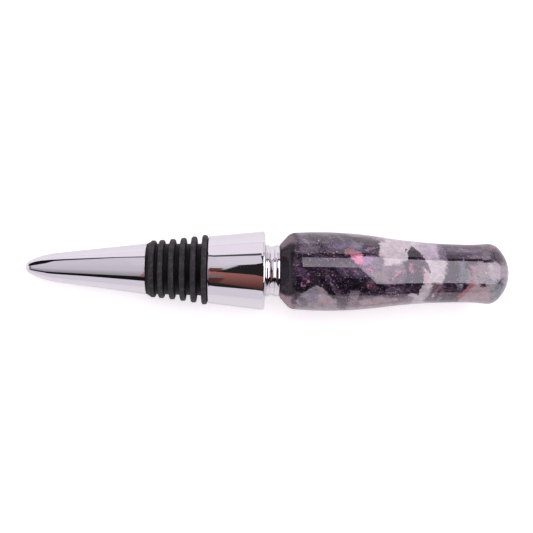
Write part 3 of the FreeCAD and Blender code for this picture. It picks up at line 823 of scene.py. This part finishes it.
def makeVeins():
    # thin veils drawn out along the swirls
    tree, entry, leave = newGroup("resinVeins", [
        ("Place", "Vector"), ("Lean", "Float", 0.0), ("Scale", "Float", 1.0)], [("Mask", "Float")])
    turn = put(tree, "VectorRotate", {
        "Vector": entry["Place"], "Angle": entry["Lean"]}, rotation_type="Z_AXIS").outputs[0]
    drawn = vectorMaths(tree, "MULTIPLY", turn, resin["veinStretch"])["Vector"]
    veil = noise(tree, drawn, entry["Scale"], detail=5.0, roughness=0.68, distortion=0.35)
    feed(tree, leave["Mask"], ramp(tree, veil["Fac"], *resin["veinEdge"]))
    return tree


shardSide = makeSideTest()
swirlPlace = makeSwirlPlace()
glitterFlecks = makeFlecks()
resinVeins = makeVeins()


def layShards(tree, colour, place, ragged, shards):
    # paints the shards over a colour, in their order
    for tone, share, softness, *corners in shards:
        spots = [Vector(corner) for corner in corners]
        middle = sum(spots, Vector((0, 0))) / len(spots)
        reach = farInside
        for start, end in zip(spots, spots[1:] + spots[:1]):
            out = Vector((end.y - start.y, start.x - end.x)).normalized()
            out *= -1 if out.dot(middle - start) > 0 else 1
            side = (out.x, out.y, -out.dot(start))
            reach = use(tree, shardSide, {"Place": place, "Side": side, "So Far": reach})["Distance"]
        edge = ramp(
            tree, maths(tree, "ADD", reach, ragged), softness, -softness, 0.0, share,
            interpolation_type="SMOOTHSTEP")
        colour = mixColour(tree, edge, colour, resinTones[tone])
    return colour


def makeResin():
    material, tree, surface = newMaterial("swirledResin", (0.2, 0.15, 0.2, 1))
    coords = stopperCoords(tree)
    tear = noise(tree, coords, scale=2200.0, detail=3.0, roughness=0.65)["Fac"]
    ragged = times(tree, maths(tree, "SUBTRACT", tear, 0.5), resin["ragged"] * 2)
    cloud = noise(tree, coords, scale=240.0, detail=4.0, roughness=0.6, distortion=0.8)["Fac"]
    veil = ramp(tree, cloud, *resin["veils"])
    tone = mixColour(tree, veil, resinTones["dark"], resinTones["dusk"])

    # shards, first those of the underside
    backWarp = resin["warp"] * resin["backWarp"]
    front = use(tree, swirlPlace, {"Coordinates": coords, "Flip": 0.0, "Warp": resin["warp"]})["Place"]
    back = use(tree, swirlPlace, {"Coordinates": coords, "Flip": 1.0, "Warp": backWarp})["Place"]
    tone = layShards(tree, tone, back, ragged, backShards)
    tone = layShards(tree, tone, front, ragged, [
        (name, share, softness, *(seenPlace(*pixel) for pixel in pixels))
        for name, share, softness, *pixels in frontShards])

    # veins, in tones that are neither light nor black
    light = put(tree, "SeparateColor", {"Color": tone}).outputs["Red"]
    middling = times(tree, ramp(tree, light, *resin["lightVeins"]), ramp(tree, light, *resin["darkVeins"]))
    along = axisParts(tree, coords)["X"]
    start, end = resin["swirlGrows"]
    body = ramp(tree, along, start * mm, end * mm, resin["faceSwirl"])
    for lean, scale, weight, name in resin["veins"]:
        vein = use(tree, resinVeins, {"Place": front, "Lean": lean, "Scale": scale})["Mask"]
        tone = mixColour(tree, times(tree, vein, middling, weight, body), tone, resinTones[name])
    grain = use(tree, surfaceGrain, {"Coordinates": coords, "Coarse": 520.0, "Fine": 2800.0, "Share": 0.5})
    level = ramp(tree, grain["Value"], *resin["unevenness"])
    tone = mixColour(tree, 1.0, tone, level, "MULTIPLY")

    # glitter, in drifts, and least in the lightest tones and in black
    gather = times(tree, ramp(tree, cloud, *resin["drifts"]), body)
    for slope in (resin["lightGlitter"], resin["blackGlitter"]):
        gather = times(tree, gather, ramp(tree, light, *slope))
    dust = use(tree, glitterFlecks, {
        "Coordinates": coords, "Size": resin["dustSize"], "Share": resin["dustShare"]})
    bright = maths(tree, "POWER", dust["Mask"], 2.0)
    tone = mixColour(tree, times(tree, bright, gather, resin["dustGlow"]), tone, dust["Tint"])
    flecks = use(tree, glitterFlecks, {
        "Coordinates": coords, "Size": resin["fleckSize"], "Share": resin["fleckShare"]})
    share = times(tree, flecks["Mask"], gather, resin["fleckGlow"])
    feed(tree, surface["Base Color"], mixColour(tree, share, tone, flecks["Tint"]))

    feed(tree, surface["Roughness"], resin["baseRoughness"])
    feed(tree, surface["Specular IOR Level"], 0.0)
    start, end = resin["polishGrows"]
    feed(tree, surface["Coat Weight"], ramp(tree, along, start * mm, end * mm, resin["facePolish"]))
    feed(tree, surface["Coat Roughness"], resin["coatRoughness"])
    feed(tree, surface["Coat IOR"], resin["coatIor"])
    return material


def makeHandle():
    turned("resinHandle", handleSection, makeResin(), "turned_handle", resin["softness"])


makeHandle()
print("handle done")


# Stud: hidden between the two, keeps its CAD shape.

steel = {
    "tones": ((0.55, 0.55, 0.57, 1), (0.68, 0.67, 0.66, 1)),
    "roughness": (0.22, 0.42),
}


def makeSteel():
    material, tree, surface = newMaterial("threadedSteel", (0.62, 0.62, 0.63, 1))
    coords = put(tree, "TexCoord").outputs["Object"]
    grain = use(tree, surfaceGrain, {"Coordinates": coords, "Coarse": 400.0, "Fine": 4000.0, "Share": 0.5})
    feed(tree, surface["Base Color"], mixColour(tree, grain["Value"], *steel["tones"]))
    feed(tree, surface["Roughness"], ramp(tree, grain["Value"], 0.0, 1.0, *steel["roughness"]))
    feed(tree, surface["Metallic"], 1.0)
    return material


def dressStud():
    stud = frame["nodes"]["threaded_stud"]
    stud.data.materials.clear()
    stud.data.materials.append(makeSteel())


dressStud()
print("stud done")


# Studio: pale floor, soft light, and what the polished surfaces mirror.

studio = {
    "floorSize": 6.0,
    "floorColour": (0.86, 0.79, 0.86, 1),
    "floorGlow": 0.50,
    "mirroredGlow": (0.13, 0.20),  # on the two sides of the stopper
    "glowSlope": 0.05,  # metres to each side over which that changes
    "skyStrength": 0.62,
    "skyColour": (1.0, 1.0, 1.0, 1),
    "seenSky": 1.03,  # the sky as the camera and the reflections see it
    "mirrored": (1.0, 0.91, 1.01),  # the studio's slightly pink air, seen only in reflections
    "lampWatts": 2.8,
    "lampSize": (0.7, 0.5),
    "lampPlace": (0.05, 0.28, 0.75),
    "tentRadius": 400.0,
    "nearRadius": 100.0,
    "panelSteps": 12,
}

# Panels of a light tent, bent round the stopper's axis. Each has four corners, low left, low
# right, high right and high left: a station in mm and an angle from straight above, where a
# positive angle leans to +Y. Then the brightness at its lowest and highest angle, and its colour.
# The first stands nearest.
white, brown, dusty = (1.0, 1.0, 1.02), (1.0, 0.42, 0.34), (1.0, 0.80, 0.78)
tentPanels = [
    ("brownSmear", [(-60, -27), (-37, -26), (-36, -15), (-60, -15)], 0.19, 0.24, dusty),
    ("brownLeft", [(-60, -5.5), (-39, -6), (-37, 6), (-60, 7)], 0.08, 0.20, brown),
    ("brownEdge", [(-60, -41), (-35, -46), (-34, -26), (-60, -27)], 0.08, 0.10, brown),
    ("brownPanel", [(-60, -35), (30, -66), (30, -23), (-60, -2.5)], 0.0, 0.43, brown),
    ("brownNear", [(-108, -38), (-61, -38), (-61, 4), (-108, 4)], 0.3, 0.24, brown),
    ("gapTip", [(-930, 24), (-300, 38), (-262, 71), (-540, 97)], 0.01, 0.01, white),
    ("gapFar", [(-301, 38), (-165, 54), (-158, 66), (-263, 71)], 0.01, 0.01, white),
    ("gapLeft", [(-166, 54), (-120, 57), (-120, 62.5), (-159, 66)], 0.06, 0.06, white),
    ("gapMiddle", [(-121, 57), (-42, 44), (-42, 49.5), (-121, 62.5)], 0.08, 0.08, white),
    ("gapRight", [(-43, 44), (8, 44.5), (8, 51.5), (-43, 49.5)], 0.10, 0.10, white),
    ("topLeft", [(-810, 15), (-119, 15), (-119, 60), (-810, 56)], 0.74, 0.78, white),
    ("topMiddle", [(-121, 15), (-40, 13), (-40, 51), (-121, 60)], 0.78, 0.8, white),
    ("topRight", [(-43, 13), (4, 22), (4, 47), (-43, 51)], 0.82, 0.84, white),
    ("strip", [(64, 13), (300, 13), (300, 40), (64, 40)], 2.1, 1.8, white),
    ("rightPanel", [(262, -37), (900, -37), (900, 49), (198, 49)], 2.5, 2.5, white),
    ("stripGap", [(46, 40), (205, 40), (205, 53), (46, 57.5)], 0.01, 0.01, white),
    ("rightGap", [(205, 40), (900, 49), (900, 60), (205, 60)], 0.02, 0.02, white),
    ("lowGap", [(205, -70), (900, -70), (900, -37), (205, -37)], 0.01, 0.01, white),
    ("upperShade", [(42, 57), (125, 57), (145, 88), (42, 88)], 0.50, 0.36, white),
    ("upperShadeRight", [(205, 60), (320, 60), (320, 90), (205, 90)], 0.70, 0.70, white),
    ("leftLight", [(-810, -8), (-49.5, -8), (-29, 15), (-810, 15)], 0.69, 0.71, white),
    ("leftGapNear", [(-151, -54), (-54, -61), (-54, -33.5), (-151, -37)], 0.01, 0.01, white),
    ("leftGapFar", [(-301, -56.5), (-149, -54), (-149, -37), (-301, -39.5)], 0.01, 0.01, white),
    ("farGap", [(-720, -66), (-299, -54), (-299, -40.5), (-760, -42)], 0.01, 0.01, white),
    ("leftShade", [(-810, -45), (-54, -45), (-54, -8), (-810, -8)], 0.24, 0.68, white),
    ("farEnd", [(-930, -40), (-795, -40), (-795, 70), (-930, 70)], 0.08, 0.08, white),
    ("blackScreen", [(-60, -55), (275, -82), (275, 43), (-46, 43)], 0.02, 0.02, white),
    ("lowerWall", [(-800, -100), (900, -100), (900, -50), (-800, -50)], 0.82, 0.82, white),
]
# This one stands close to the handle's end.
nearPanel = ("rightNear", [(138, -36.5), (200, -36.5), (200, 44), (112, 40.5)], 2.5, 2.5, white)


def makeFloor():
    bpy.ops.mesh.primitive_plane_add(size=studio["floorSize"])
    floor = bpy.context.object
    floor.name = "paleFloor"
    material, tree = emptyMaterial("paleFloor")
    matte = put(tree, "BsdfDiffuse", {"Color": studio["floorColour"]})
    path = put(tree, "LightPath").outputs
    side = axisParts(tree, put(tree, "TexCoord").outputs["Object"])["Y"]
    slope = ramp(tree, side, -studio["glowSlope"], studio["glowSlope"], *studio["mirroredGlow"])
    seen = times(tree, path["Is Camera Ray"], studio["floorGlow"])
    mirrored = times(tree, path["Is Glossy Ray"], slope)
    glow = put(tree, "Emission", {"Strength": maths(tree, "ADD", seen, mirrored)})
    both = put(tree, "AddShader", {0: matte.outputs[0], 1: glow.outputs[0]})
    put(tree, "OutputMaterial", {"Surface": both.outputs[0]})
    floor.data.materials.append(material)


def panelGlow(name, angles, glows, colour):
    # a light whose brightness changes evenly from one angle to the other
    material, tree = emptyMaterial(name)
    parts = axisParts(tree, put(tree, "TexCoord").outputs["Object"])
    turn = maths(tree, "ARCTAN2", parts["Y"], parts["Z"])
    strength = ramp(tree, turn, *(math.radians(angle) for angle in angles), *glows)
    tint = (*(a * b for a, b in zip(colour, studio["mirrored"])), 1)
    glow = put(tree, "Emission", {"Color": tint, "Strength": strength})
    put(tree, "OutputMaterial", {"Surface": glow.outputs[0]})
    return material


def bentSheet(name, corners, radius):
    # a sheet between four corners, bent round the stopper's axis
    mesh = bpy.data.meshes.new(name)
    work = bmesh.new()
    steps = studio["panelSteps"]
    lowLeft, lowRight, highRight, highLeft = [Vector(corner) for corner in corners]
    rows = []
    for k in range(steps + 1):
        left, right = lowLeft.lerp(highLeft, k / steps), lowRight.lerp(highRight, k / steps)
        row = []
        for n in range(steps + 1):
            place = left.lerp(right, n / steps)
            angle = math.radians(place.y)
            row.append(work.verts.new((
                place.x * mm, radius * mm * math.sin(angle), radius * mm * math.cos(angle))))
        rows.append(row)
    for before, after in zip(rows, rows[1:]):
        for n in range(steps):
            work.faces.new((before[n], before[n + 1], after[n + 1], after[n]))
    work.to_mesh(mesh)
    work.free()
    return mesh


def makePanel(name, corners, lowGlow, highGlow, colour, radius):
    # a strip of the tent's wall, seen only in reflections
    panel = showObject(name, bentSheet(name, corners, radius))
    panel.matrix_world = lay
    angles = [corner[1] for corner in corners]
    glow = panelGlow(name, (min(angles), max(angles)), (lowGlow, highGlow), colour)
    panel.data.materials.append(glow)
    for ray in ("camera", "diffuse", "shadow", "transmission", "volume_scatter"):
        setattr(panel, "visible_" + ray, False)


def makeSky():
    world = bpy.data.worlds.new("studioSky")
    bpy.context.scene.world = world
    world.use_nodes = True
    tree = world.node_tree
    tree.nodes.clear()
    path = put(tree, "LightPath").outputs
    direct = maths(tree, "MAXIMUM", path["Is Camera Ray"], path["Is Glossy Ray"])
    direct = maths(tree, "MAXIMUM", direct, path["Is Transmission Ray"])
    strength = ramp(tree, direct, 0.0, 1.0, studio["skyStrength"], studio["seenSky"])
    tone = mixColour(tree, path["Is Glossy Ray"], studio["skyColour"], (*studio["mirrored"], 1))
    glow = put(tree, "Background", {"Color": tone, "Strength": strength})
    put(tree, "OutputWorld", {"Surface": glow.outputs[0]})


def makeLamp():
    light = bpy.data.lights.new("softLamp", "AREA")
    light.shape = "RECTANGLE"
    light.size, light.size_y = studio["lampSize"]
    light.energy = studio["lampWatts"]
    lamp = showObject("softLamp", light)
    lamp.location = studio["lampPlace"]
    lamp.rotation_euler = (-lamp.location).to_track_quat("-Z", "Y").to_euler()
    lamp.visible_glossy = False


makeFloor()
for number, panel in enumerate(tentPanels):
    makePanel(*panel, studio["tentRadius"] + number)
makePanel(*nearPanel, studio["nearRadius"])
makeSky()
makeLamp()
print("studio done")
